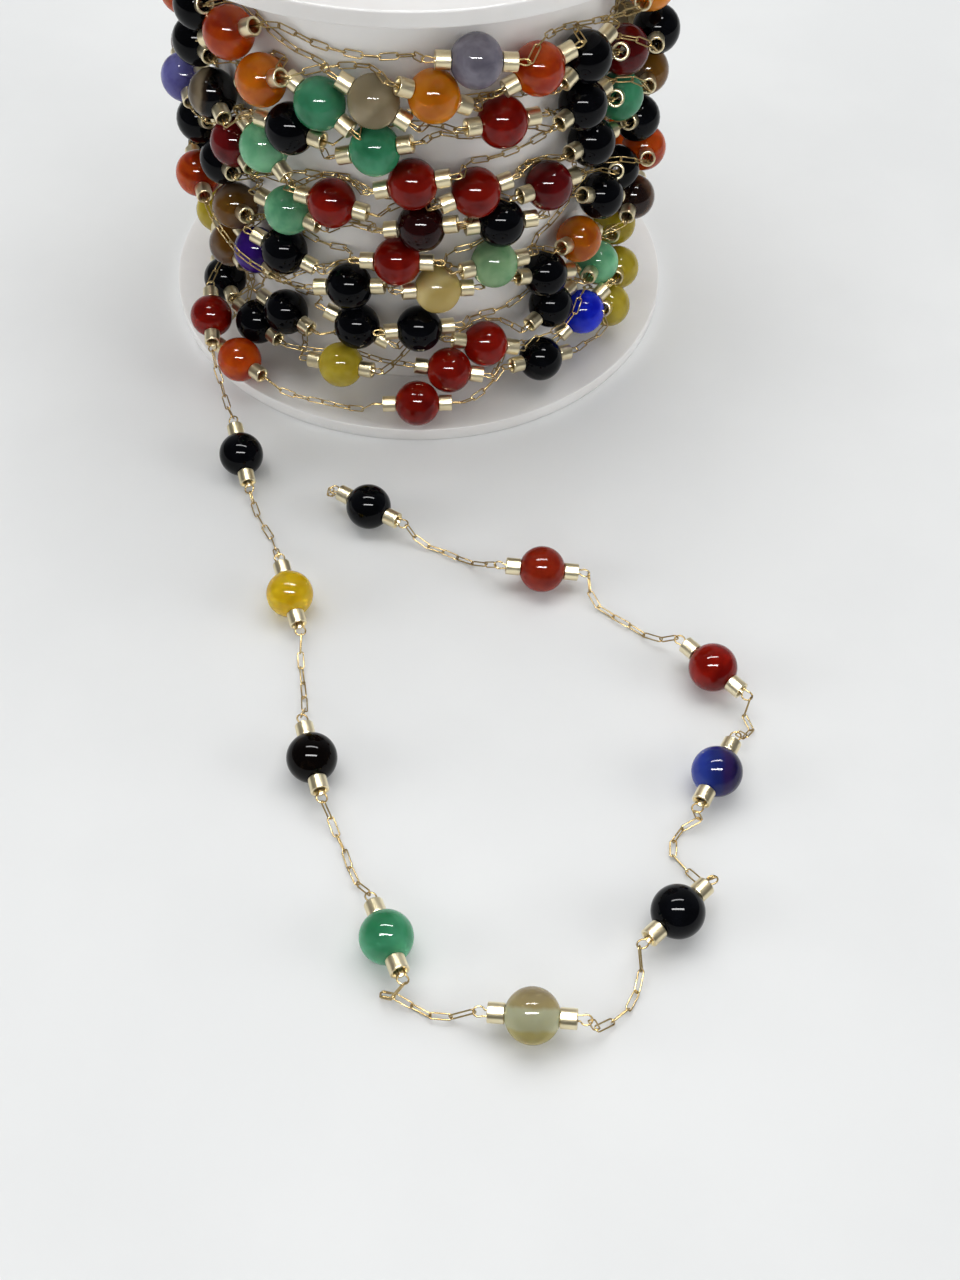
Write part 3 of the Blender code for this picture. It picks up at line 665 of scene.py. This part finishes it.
# One row for each kind of stone: the colours from the deepest to the palest of its clouds or layers, the
# size of the pattern, how much light it scatters inside and how much it lets through. Gloss is given where
# it differs from STONE_SPECULAR, and direction where the layers all lie one way
STONE_LOOKS = {
    "onyx": dict(
        stops=[(0.3, (0.001, 0.0011, 0.0016)), (0.8, (0.003, 0.0034, 0.005))],
        scale=1.2, glow=0.0, clear=0.0, gloss=0.10),
    "brown_onyx": dict(
        stops=[(0.55, (0.002, 0.0012, 0.001)), (0.85, (0.03, 0.017, 0.008))],
        scale=0.9, glow=0.1, clear=0.0, gloss=0.10),
    "banded_onyx": dict(
        stops=[(0.18, (0.1, 0.075, 0.05)), (0.36, (0.24, 0.19, 0.12)), (0.46, (0.03, 0.018, 0.01)),
               (0.56, (0.002, 0.002, 0.003))],
        layers=1.0, direction=(0.0, -0.84, 0.54), glow=0.2, clear=0.1),
    "carnelian": dict(
        stops=[(0.3, (0.32, 0.02, 0.001)), (0.7, (0.66, 0.1, 0.003))],
        scale=1.1, glow=0.5, clear=0.35),
    "amber": dict(
        stops=[(0.3, (0.42, 0.085, 0.0015)), (0.7, (0.68, 0.2, 0.004))],
        scale=1.0, glow=0.5, clear=0.35),
    "honey": dict(
        stops=[(0.3, (0.6, 0.18, 0.002)), (0.7, (0.8, 0.29, 0.006))],
        scale=0.8, glow=0.5, clear=0.35),
    "yellow_agate": dict(
        stops=[(0.3, (0.76, 0.5, 0.005)), (0.7, (0.9, 0.68, 0.02))],
        scale=0.8, glow=0.5, clear=0.45),
    "citrine": dict(
        stops=[(0.3, (0.36, 0.27, 0.01)), (0.7, (0.56, 0.45, 0.05))],
        scale=0.9, glow=0.45, clear=0.3),
    "green_onyx": dict(
        stops=[(0.3, (0.018, 0.15, 0.065)), (0.7, (0.075, 0.33, 0.18))],
        scale=0.7, glow=0.5, clear=0.2),
    "green_agate": dict(
        stops=[(0.3, (0.03, 0.22, 0.095)), (0.7, (0.105, 0.43, 0.24))],
        scale=0.7, glow=0.5, clear=0.3),
    "aventurine": dict(
        stops=[(0.3, (0.085, 0.31, 0.16)), (0.7, (0.22, 0.52, 0.3))],
        scale=1.0, glow=0.45, clear=0.2),
    "moss_agate": dict(
        stops=[(0.3, (0.12, 0.3, 0.13)), (0.7, (0.3, 0.47, 0.26))],
        scale=0.9, glow=0.45, clear=0.2),
    "moss_bands": dict(
        stops=[(0.1, (0.42, 0.35, 0.1)), (0.27, (0.43, 0.37, 0.12)), (0.36, (0.48, 0.48, 0.31)),
               (0.64, (0.5, 0.51, 0.35)), (0.72, (0.4, 0.32, 0.15)), (0.95, (0.33, 0.26, 0.14))],
        layers=1.0, direction=(0.5, -0.86, 0.0), glow=0.5, clear=0.35),
    "cobalt": dict(
        stops=[(0.3, (0.002, 0.006, 0.38)), (0.7, (0.012, 0.035, 0.66))],
        scale=0.9, glow=0.4, clear=0.1),
    "cobalt_agate": dict(
        stops=[(0.15, (0.022, 0.044, 0.28)), (0.48, (0.012, 0.02, 0.14)), (0.62, (0.026, 0.012, 0.08)),
               (0.85, (0.007, 0.004, 0.04))],
        layers=1.0, direction=(0.0, 0.88, 0.47), glow=0.4, clear=0.15),
    "violet": dict(
        stops=[(0.3, (0.045, 0.035, 0.16)), (0.7, (0.14, 0.14, 0.36))],
        scale=0.9, glow=0.4, clear=0.1),
    "deep_violet": dict(
        stops=[(0.3, (0.014, 0.003, 0.09)), (0.7, (0.045, 0.01, 0.2))],
        scale=0.9, glow=0.3, clear=0.1),
    "lavender": dict(
        stops=[(0.3, (0.13, 0.12, 0.16)), (0.7, (0.33, 0.31, 0.37))],
        scale=1.0, glow=0.45, clear=0.2),
    "grey_agate": dict(
        stops=[(0.25, (0.27, 0.22, 0.13)), (0.55, (0.36, 0.3, 0.19)), (0.8, (0.24, 0.19, 0.11))],
        layers=1.4, glow=0.45, clear=0.15),
    "cream_agate": dict(
        stops=[(0.2, (0.52, 0.4, 0.12)), (0.55, (0.68, 0.56, 0.26)), (0.85, (0.5, 0.38, 0.13))],
        layers=1.2, glow=0.5, clear=0.2),
    "red_agate": dict(
        stops=[(0.3, (0.14, 0.0015, 0.0005)), (0.7, (0.29, 0.008, 0.002))],
        scale=1.0, glow=0.4, clear=0.2),
    "garnet": dict(
        stops=[(0.3, (0.06, 0.0015, 0.002)), (0.7, (0.14, 0.004, 0.005))],
        scale=1.0, glow=0.35, clear=0.15),
    "dark_garnet": dict(
        stops=[(0.3, (0.006, 0.0012, 0.0012)), (0.75, (0.028, 0.003, 0.003))],
        scale=0.9, glow=0.2, clear=0.1),
    "dark_carnelian": dict(
        stops=[(0.3, (0.17, 0.008, 0.002)), (0.7, (0.32, 0.025, 0.006))],
        scale=1.0, glow=0.4, clear=0.15),
    "tiger_eye": dict(
        stops=[(0.15, (0.02, 0.008, 0.006)), (0.42, (0.12, 0.065, 0.038)), (0.62, (0.19, 0.125, 0.08)),
               (0.85, (0.16, 0.07, 0.008))],
        layers=1.3, glow=0.35, clear=0.3),
}
PATTERN_SHIFT = 37.0
PATTERN_DETAIL = 3.0
CLOUD_DISTORTION = 0.4
LAYER_TURN_AXIS = (0.48, 0.36, 0.8)
LAYER_BEND_SCALE = 1.1
LAYER_WOBBLE = 0.22
STONE_IOR = 1.54
STONE_SPECULAR = 0.16
STONE_SHADE = (0.85, 1.15)
STONE_POLISH_SCALE = 3.0
STONE_POLISH_DETAIL = 2.0
STONE_ROUGHNESS = (0.02, 0.07)
GLOW_DEPTH = 1.8 * MM
SHORTEST_GLOW = 0.15
SLEEVE_TINTS = [(0.3, (0.78, 0.66, 0.41)), (0.7, (0.93, 0.84, 0.59))]
CHAIN_TINTS = [(0.3, (0.38, 0.26, 0.10)), (0.7, (0.60, 0.46, 0.22))]
GOLD_TINT_SCALE = 0.6
GOLD_MARK_SCALE = 2.6
GOLD_MARK_DETAIL = 5.0
GOLD_ROUGHNESS = (0.22, 0.38)
MARK_STRENGTH = 0.12
GOLD_MARK_DEPTH = 0.02 * MM
PLASTIC_TINTS = [(0.35, (0.78, 0.763, 0.742)), (0.65, (0.84, 0.828, 0.811))]
PLASTIC_CLOUD_SCALE = 60.0
PLASTIC_SCUFF_SCALE = 420.0
PLASTIC_SCUFF_DETAIL = 6.0
PLASTIC_ROUGHNESS = (0.28, 0.46)
PLASTIC_SCUFF_DEPTH = 0.1 * MM
PLASTIC_GLOW = 0.35
PLASTIC_GLOW_RADIUS = (1.0, 0.95, 0.9)
PLASTIC_GLOW_DEPTH = 2.0 * MM
FLOOR_TINTS = [(0.35, (0.770, 0.780, 0.778)), (0.65, (0.795, 0.805, 0.802))]
FLOOR_GRAIN_SCALE = 30.0
FLOOR_GRAIN_DETAIL = 8.0
FLOOR_ROUGHNESS = 0.7


def new_material(name):
    material = bpy.data.materials.new(name)
    material.use_nodes = True
    tree = material.node_tree
    return material, tree, tree.nodes["Principled BSDF"]


def add_node(tree, kind, links=None, **values):
    """A node with its properties set by name, and its inputs linked by name."""
    node = tree.nodes.new(kind)
    for key, value in values.items():
        setattr(node, key, value)
    for key, socket in (links or {}).items():
        tree.links.new(socket, node.inputs[key])
    return node


def colour_ramp(tree, factor, stops):
    node = add_node(tree, "ShaderNodeValToRGB", {"Fac": factor})
    ramp = node.color_ramp
    ramp.interpolation = "EASE"
    while len(ramp.elements) < len(stops):
        ramp.elements.new(0.5)
    for element, (position, colour) in zip(ramp.elements, stops):
        element.position = position
        element.color = (*colour, 1.0)
    return node.outputs["Color"]


def noise_texture(tree, vector, scale, detail):
    node = add_node(tree, "ShaderNodeTexNoise", {"Vector": vector})
    node.inputs["Scale"].default_value = scale
    node.inputs["Detail"].default_value = detail
    return node.outputs["Fac"]


def ranged(tree, factor, low, high):
    """A factor from 0 to 1 spread over another range."""
    node = add_node(tree, "ShaderNodeMapRange", {"Value": factor})
    node.inputs["To Min"].default_value = low
    node.inputs["To Max"].default_value = high
    return node.outputs["Result"]


def marked_normal(tree, height, depth):
    bump = add_node(tree, "ShaderNodeBump", {"Height": height})
    bump.inputs["Strength"].default_value = MARK_STRENGTH
    bump.inputs["Distance"].default_value = depth
    return bump.outputs["Normal"]


def layered(tree, place, far, look):
    """Agate layers: planes across the stone, bent a little, from 0 at one side to 1 at the other."""
    if "direction" in look:
        turned_place, direction = place, look["direction"]
    else:
        turn_by = add_node(tree, "ShaderNodeVectorRotate", {"Vector": place, "Angle": far})
        turn_by.inputs["Axis"].default_value = LAYER_TURN_AXIS
        turned_place, direction = turn_by.outputs[0], (1.0, 0.0, 0.0)
    across = add_node(tree, "ShaderNodeVectorMath", {0: turned_place}, operation="DOT_PRODUCT")
    across.inputs[1].default_value = direction
    bend = add_node(tree, "ShaderNodeTexNoise", {"Vector": turned_place, "W": far}, noise_dimensions="4D")
    bend.inputs["Scale"].default_value = LAYER_BEND_SCALE
    bend.inputs["Detail"].default_value = PATTERN_DETAIL
    bent = add_node(tree, "ShaderNodeMath", {0: bend.outputs["Fac"], 2: across.outputs["Value"]},
                    operation="MULTIPLY_ADD")
    bent.inputs[1].default_value = 2 * LAYER_WOBBLE
    level = add_node(tree, "ShaderNodeMapRange", {"Value": bent.outputs[0]})
    level.inputs["From Min"].default_value = LAYER_WOBBLE - 1.0
    level.inputs["From Max"].default_value = LAYER_WOBBLE + 1.0
    if look["layers"] == 1.0:
        return level.outputs["Result"]
    repeated = add_node(tree, "ShaderNodeMath", {0: level.outputs["Result"]}, operation="MULTIPLY")
    repeated.inputs[1].default_value = look["layers"]
    wrapped = add_node(tree, "ShaderNodeMath", {0: repeated.outputs[0]}, operation="PINGPONG")
    wrapped.inputs[1].default_value = 1.0
    return wrapped.outputs[0]


def clouded(tree, place, far, look):
    noise = add_node(tree, "ShaderNodeTexNoise", {"Vector": place, "W": far}, noise_dimensions="4D")
    noise.inputs["Scale"].default_value = look["scale"]
    noise.inputs["Detail"].default_value = PATTERN_DETAIL
    noise.inputs["Distortion"].default_value = CLOUD_DISTORTION
    return noise.outputs["Fac"]


def stone_material(kind):
    """Polished stone: clouds or layers of its own colours, in which light scatters before it leaves."""
    look = STONE_LOOKS[kind]
    material, tree, shader = new_material(f"stone_{kind}")
    place = add_node(tree, "ShaderNodeAttribute", attribute_name="place").outputs["Vector"]
    seed = add_node(tree, "ShaderNodeAttribute", attribute_name="seed").outputs["Fac"]
    far = add_node(tree, "ShaderNodeMath", {0: seed}, operation="MULTIPLY")
    far.inputs[1].default_value = PATTERN_SHIFT
    pattern = layered if "layers" in look else clouded
    colour = colour_ramp(tree, pattern(tree, place, far.outputs[0], look), look["stops"])
    shade = ranged(tree, seed, *STONE_SHADE)
    varied = add_node(tree, "ShaderNodeHueSaturation", {"Color": colour, "Value": shade})
    tree.links.new(varied.outputs["Color"], shader.inputs["Base Color"])
    polish = noise_texture(tree, place, STONE_POLISH_SCALE, STONE_POLISH_DETAIL)
    tree.links.new(ranged(tree, polish, *STONE_ROUGHNESS), shader.inputs["Roughness"])
    palest = look["stops"][-1][1]
    shader.inputs["IOR"].default_value = STONE_IOR
    shader.inputs["Specular IOR Level"].default_value = look.get("gloss", STONE_SPECULAR)
    shader.inputs["Subsurface Weight"].default_value = look["glow"]
    reach = [max(SHORTEST_GLOW, part / max(palest)) for part in palest]
    shader.inputs["Subsurface Radius"].default_value = reach
    shader.inputs["Subsurface Scale"].default_value = GLOW_DEPTH
    shader.inputs["Transmission Weight"].default_value = look["clear"]
    return material


def gold_material(name, coordinates, stretch, tints):
    """Pale gold plating with small changes of tint, soft handling marks and fine drawing lines."""
    material, tree, shader = new_material(name)
    if coordinates == "place":
        vector = add_node(tree, "ShaderNodeAttribute", attribute_name="place").outputs["Vector"]
        size = 1.0
    else:
        vector = add_node(tree, "ShaderNodeTexCoord").outputs["Object"]
        size = 1.0 / MM
    mapped = add_node(tree, "ShaderNodeMapping", {"Vector": vector})
    mapped.inputs["Scale"].default_value = (size, size, size * stretch)
    tint = noise_texture(tree, mapped.outputs[0], GOLD_TINT_SCALE, PATTERN_DETAIL)
    tree.links.new(colour_ramp(tree, tint, tints), shader.inputs["Base Color"])
    marks = noise_texture(tree, mapped.outputs[0], GOLD_MARK_SCALE, GOLD_MARK_DETAIL)
    tree.links.new(ranged(tree, marks, *GOLD_ROUGHNESS), shader.inputs["Roughness"])
    tree.links.new(marked_normal(tree, marks, GOLD_MARK_DEPTH), shader.inputs["Normal"])
    shader.inputs["Metallic"].default_value = 1.0
    return material


def plastic_material():
    """Milky white moulded plastic: faint flow clouds, an orange-peel skin and a few dull scuffs."""
    material, tree, shader = new_material("white_plastic")
    vector = add_node(tree, "ShaderNodeTexCoord").outputs["Object"]
    clouds = noise_texture(tree, vector, PLASTIC_CLOUD_SCALE, PATTERN_DETAIL)
    tree.links.new(colour_ramp(tree, clouds, PLASTIC_TINTS), shader.inputs["Base Color"])
    scuffs = noise_texture(tree, vector, PLASTIC_SCUFF_SCALE, PLASTIC_SCUFF_DETAIL)
    tree.links.new(ranged(tree, scuffs, *PLASTIC_ROUGHNESS), shader.inputs["Roughness"])
    tree.links.new(marked_normal(tree, scuffs, PLASTIC_SCUFF_DEPTH), shader.inputs["Normal"])
    shader.inputs["Subsurface Weight"].default_value = PLASTIC_GLOW
    shader.inputs["Subsurface Radius"].default_value = PLASTIC_GLOW_RADIUS
    shader.inputs["Subsurface Scale"].default_value = PLASTIC_GLOW_DEPTH
    return material


def floor_material():
    """Pale matt table with a faint grain."""
    material, tree, shader = new_material("pale_floor")
    vector = add_node(tree, "ShaderNodeTexCoord").outputs["Object"]
    grain = noise_texture(tree, vector, FLOOR_GRAIN_SCALE, FLOOR_GRAIN_DETAIL)
    tree.links.new(colour_ramp(tree, grain, FLOOR_TINTS), shader.inputs["Base Color"])
    shader.inputs["Roughness"].default_value = FLOOR_ROUGHNESS
    return material


# Stage

CAMERA_PLACE = np.array([11.10, -176.00, 140.87]) * MM
CAMERA_PITCH = 53.71
CAMERA_ROLL = -1.546
CAMERA_LENS = 38.58
SENSOR_WIDTH = 36.0
NEAREST_SEEN = 0.01
FLOOR_HALF = 1.5
# Two strips of a small light box that the polish mirrors, and four broad soft lights that it doesn't
LAMPS = [
    # name, x, y, height, length and width in millimetres, tilt and lean in degrees, power, is it mirrored
    ("front_strip", 5.0, -157.0, 167.0, 165.0, 20.0, 0.0, 0.0, 0.68, True),
    ("back_strip", 5.0, -31.0, 180.0, 165.0, 18.0, 0.0, 0.0, 0.36, True),
    ("soft_top", 0.0, 250.0, 560.0, 900.0, 600.0, 0.0, 0.0, 3.9, False),
    ("soft_front", 0.0, -420.0, 200.0, 500.0, 200.0, 65.0, 0.0, 0.33, False),
    ("soft_left", -480.0, -170.0, 170.0, 300.0, 260.0, 18.0, -68.0, 1.0, False),
    ("soft_right", 480.0, -170.0, 170.0, 300.0, 260.0, 18.0, 68.0, 1.0, False),
]
WORLD_TINTS = [(0.0, (0.09, 0.092, 0.095)), (0.55, (0.11, 0.112, 0.115)), (1.0, (0.40, 0.41, 0.42))]


def build_camera():
    pitch, roll = math.radians(CAMERA_PITCH), math.radians(CAMERA_ROLL)
    ahead = Vector((0.0, math.cos(pitch), -math.sin(pitch)))
    right = Vector((1.0, 0.0, 0.0))
    down = -Vector((0.0, math.sin(pitch), math.cos(pitch)))
    x = right * math.cos(roll) + down * math.sin(roll)
    y = right * math.sin(roll) - down * math.cos(roll)
    data = bpy.data.cameras.new("camera")
    data.lens = CAMERA_LENS
    data.sensor_width = SENSOR_WIDTH
    data.clip_start = NEAREST_SEEN
    camera = bpy.data.objects.new("camera", data)
    turn_matrix = Matrix((x, y, -ahead)).transposed().to_4x4()
    camera.matrix_world = Matrix.Translation(Vector(CAMERA_PLACE + AXIS)) @ turn_matrix
    bpy.context.scene.collection.objects.link(camera)
    bpy.context.scene.camera = camera


def build_lights():
    for name, x, y, height, length, width, tilt, lean, power, is_mirrored in LAMPS:
        data = bpy.data.lights.new(name, "AREA")
        data.shape = "RECTANGLE"
        data.size = length * MM
        data.size_y = width * MM
        data.energy = power
        light = bpy.data.objects.new(name, data)
        light.location = Vector(AXIS) + Vector((x, y, height)) * MM
        light.rotation_euler = (math.radians(tilt), math.radians(lean), 0.0)
        light.visible_glossy = is_mirrored
        light.visible_diffuse = not is_mirrored
        bpy.context.scene.collection.objects.link(light)
    world = bpy.data.worlds.new("studio")
    bpy.context.scene.world = world
    world.use_nodes = True
    tree = world.node_tree
    background = tree.nodes["Background"]
    direction = add_node(tree, "ShaderNodeTexCoord").outputs["Generated"]
    split = add_node(tree, "ShaderNodeSeparateXYZ", {"Vector": direction})
    front = add_node(tree, "ShaderNodeMapRange", {"Value": split.outputs["Y"]})
    front.inputs["From Min"].default_value = -1.0
    front.inputs["From Max"].default_value = 1.0
    sky = colour_ramp(tree, front.outputs["Result"], WORLD_TINTS)
    tree.links.new(sky, background.inputs["Color"])
    background.inputs["Strength"].default_value = 1.0


def build_floor():
    floor = bpy.data.meshes.new("floor")
    half = FLOOR_HALF
    corners = [(-half, -half, 0.0), (half, -half, 0.0), (half, half, 0.0), (-half, half, 0.0)]
    floor.from_pydata(corners, [], [(0, 1, 2, 3)])
    obj = bpy.data.objects.new("floor", floor)
    obj.data.materials.append(floor_material())
    bpy.context.scene.collection.objects.link(obj)


# The object

def finish_piece(obj, material, slot, *nodes):
    obj.data.materials.append(material)
    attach(obj, "root")
    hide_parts(*nodes)


def build_spool():
    plastic = plastic_material()
    top_disc = SPOOL_HEIGHT - FLANGE_THICKNESS
    rings = [
        # name, inner and outer radius, bottom, top, rounding
        ("lower_flange", HUB_HOLE_RADIUS, FLANGE_RADIUS, 0.0, FLANGE_THICKNESS, LOWER_FLANGE_EDGE),
        ("upper_flange", HUB_HOLE_RADIUS, FLANGE_RADIUS, top_disc, SPOOL_HEIGHT, UPPER_FLANGE_EDGE),
        ("core", CORE_RADIUS - CORE_WALL, CORE_RADIUS, FLANGE_THICKNESS, top_disc, CORE_EDGE),
    ]
    for name, inner, outer, bottom, top, edge in rings:
        ring = rounded_ring(name, inner, outer, bottom, top, edge, SPOOL_SIDES)
        finish_piece(ring, plastic, "white_plastic", f"spool_{name}")


def eye_rolls(count, draw):
    """Turns of the eyes about their bores, most of them lying nearly flat."""
    return math.pi / 2 + draw.normal(0.0, EYE_ROLL_SPREAD, count)


def chain_rolls(chains, start_rolls, end_rolls):
    """First roll and twist of each chain, so that its end links cross the eyes that they hook into."""
    rolls = []
    for joints, start, end in zip(chains, start_rolls, end_rolls):
        first, last = start + math.pi / 2, end + math.pi / 2
        count = len(joints) - 1
        plain = first + math.pi / 2 * (count - 1)
        twist = (last - plain + math.pi / 2) % math.pi - math.pi / 2
        rolls.append((first, twist))
    return rolls


def build_strand():
    draw = np.random.default_rng(SEED)
    centres = spread_stones()
    kinds = chart_strand()[4]
    loose = loose_centres()
    loose_aims = np.array([heading(bearing, tilt) for _, _, _, bearing, tilt in LOOSE_STONES])
    aims = aim_stations(centres, centres[0] + FIRST_CHAIN_COMES_FROM, loose[0])
    offset = joint_offset(WOUND_STONE_DIAMETER)
    loose_offset = joint_offset(STONE_DIAMETER)
    outs = centres + aims * offset
    ins = np.vstack([centres[1:] - aims[1:] * offset, loose[0] - loose_aims[0] * loose_offset])
    chains = [chain_start(start, end) for start, end in zip(outs, ins)]
    sleeve_ends = [centres + aims * (sign * place) for sign in (-1, 1) for place in SLEEVE_SAMPLES]
    blocks = np.vstack([centres, loose, *sleeve_ends])
    radii = np.full(len(blocks), SLEEVE_DIAMETER / 2)
    radii[:len(centres)] = WOUND_STONE_DIAMETER / 2
    radii[len(centres):len(centres) + len(loose)] = STONE_DIAMETER / 2
    chains = settle_chains(chains, blocks, radii)
    rolls = eye_rolls(len(centres), draw)
    loose_rolls = eye_rolls(len(loose), draw)
    gold = gold_material("gold_sleeves", "place", 0.25, SLEEVE_TINTS)
    chain_gold = gold_material("gold_chain", "object", 1.0, CHAIN_TINTS)
    seeds = draw.uniform(0.0, 1.0, len(centres))
    kinds = np.array(kinds)
    for kind in sorted(set(kinds)):
        chosen = kinds == kind
        piece = stones(f"wound_{kind}", centres[chosen], aims[chosen], WOUND_STONE_DIAMETER,
                       STONE_SIDES, STONE_BANDS, seeds[chosen])
        finish_piece(piece, stone_material(kind), "wound_stones", "wound_strand")
    finish_piece(sleeves("wound_sleeves", centres, aims, WOUND_STONE_DIAMETER, SLEEVE_SIDES, seeds), gold,
                 "gold_plating", "wound_strand")
    finish_piece(pins("wound_pins", centres, aims, WOUND_STONE_DIAMETER, WOUND_EYE_WIDTH, rolls), chain_gold,
                 "gold_plating", "wound_strand")
    half = len(chains) // 2
    turns = chain_rolls(chains, rolls, np.append(rolls[1:], loose_rolls[0]))
    for name, part in (("wound_chain_upper", slice(0, half)), ("wound_chain_lower", slice(half, None))):
        finish_piece(link_field(name, chains[part], turns[part]), chain_gold, "gold_plating", "wound_strand")
    build_loose(loose, loose_aims, loose_rolls, gold, chain_gold, draw)


def build_loose(centres, aims, rolls, gold, chain_gold, draw):
    seeds = draw.uniform(0.0, 1.0, len(centres))
    node_slots = {entry["node"]: entry["material_slot"] for entry in frame["record"]["subparts"]}
    for number, (kind, _, _, _, _) in enumerate(LOOSE_STONES):
        name = f"loose_stone_{number:02d}"
        piece = stones(name, centres[number], aims[number], STONE_DIAMETER,
                       LOOSE_STONE_SIDES, LOOSE_STONE_BANDS, seeds[number])
        material = bpy.data.materials.get(f"stone_{kind}") or stone_material(kind)
        node = f"stone_{number:02d}"
        finish_piece(piece, material, node_slots[node], node)
    numbers = range(len(LOOSE_STONES))
    finish_piece(sleeves("loose_sleeves", centres, aims, STONE_DIAMETER, LOOSE_SLEEVE_SIDES, seeds), gold,
                 "gold_plating", *[f"sleeve_{number:02d}{side}" for number in numbers for side in "ab"])
    finish_piece(pins("loose_pins", centres, aims, STONE_DIAMETER, EYE_DIAMETER, rolls), chain_gold,
                 "gold_plating", *[f"eye_pin_{number:02d}" for number in numbers])
    offset = joint_offset(STONE_DIAMETER)
    chains = []
    for number, joints in enumerate(LOOSE_LINKS):
        start = centres[number] + aims[number] * offset
        end = centres[number + 1] - aims[number + 1] * offset
        chains.append(np.vstack([start, np.array(joints) * MM, end]))
    turns = chain_rolls(chains, rolls, rolls[1:])
    last = centres[-1] + aims[-1] * offset
    chains.append(np.vstack([last, np.array(TRAILING_LINKS) * MM]))
    turns.append((rolls[-1] + math.pi / 2, TRAILING_TWIST))
    finish_piece(link_field("loose_chain", chains, turns), chain_gold, "gold_plating",
                 *[f"chain_{number:02d}" for number in range(len(LOOSE_LINKS))])


build_camera()
build_lights()
build_floor()
build_spool()
build_strand()
bpy.context.scene.view_settings.view_transform = "Standard"
